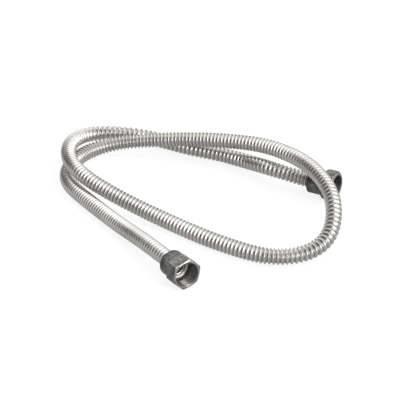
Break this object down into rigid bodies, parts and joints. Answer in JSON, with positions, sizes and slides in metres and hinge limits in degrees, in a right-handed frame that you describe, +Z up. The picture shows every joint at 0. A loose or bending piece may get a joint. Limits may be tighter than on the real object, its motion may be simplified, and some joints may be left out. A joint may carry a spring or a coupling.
{
  "type": "corrugated metal hose",
  "caption": "Flexible stainless hose with ring-shaped corrugations and a loose hexagon union nut on each end, lying in a double loop.",
  "frame": {"origin": "middle of the object's box at floor level, on the surface that the laid-out hose rests on", "axes": "+Z up; +X to the right and +Y away, as seen by someone facing the end of the hose that points forwards"},
  "size_m": [0.2909, 0.3485, 0.0447],
  "materials": {
    "hose_steel": "bright annealed stainless, rolled into corrugations",
    "nut_steel": "black oxide over machined steel, semi-gloss, with paler edges",
    "collar_steel": "bright turned stainless",
    "washer_rubber": "matt pale grey silicone sealing washer"
  },
  "bodies": {
    "hose": {"corrugated_hose": "hose_steel", "front_collar": "collar_steel", "rear_collar": "collar_steel", "front_washer": "washer_rubber", "rear_washer": "washer_rubber"},
    "front_nut": {"front_nut": "nut_steel"},
    "rear_nut": {"rear_nut": "nut_steel"}
  },
  "joints": [
    {"name": "front_nut_turn", "type": "hinge", "parent": "hose", "child": "front_nut", "pos_m": [-0.023, -0.149, 0.01599], "axis": [0.515, -0.8572, 0], "continuous": true},
    {"name": "rear_nut_turn", "type": "hinge", "parent": "hose", "child": "rear_nut", "pos_m": [0.12, 0.036, 0.0135], "axis": [0.866, -0.5, 0], "continuous": true}
  ]
}
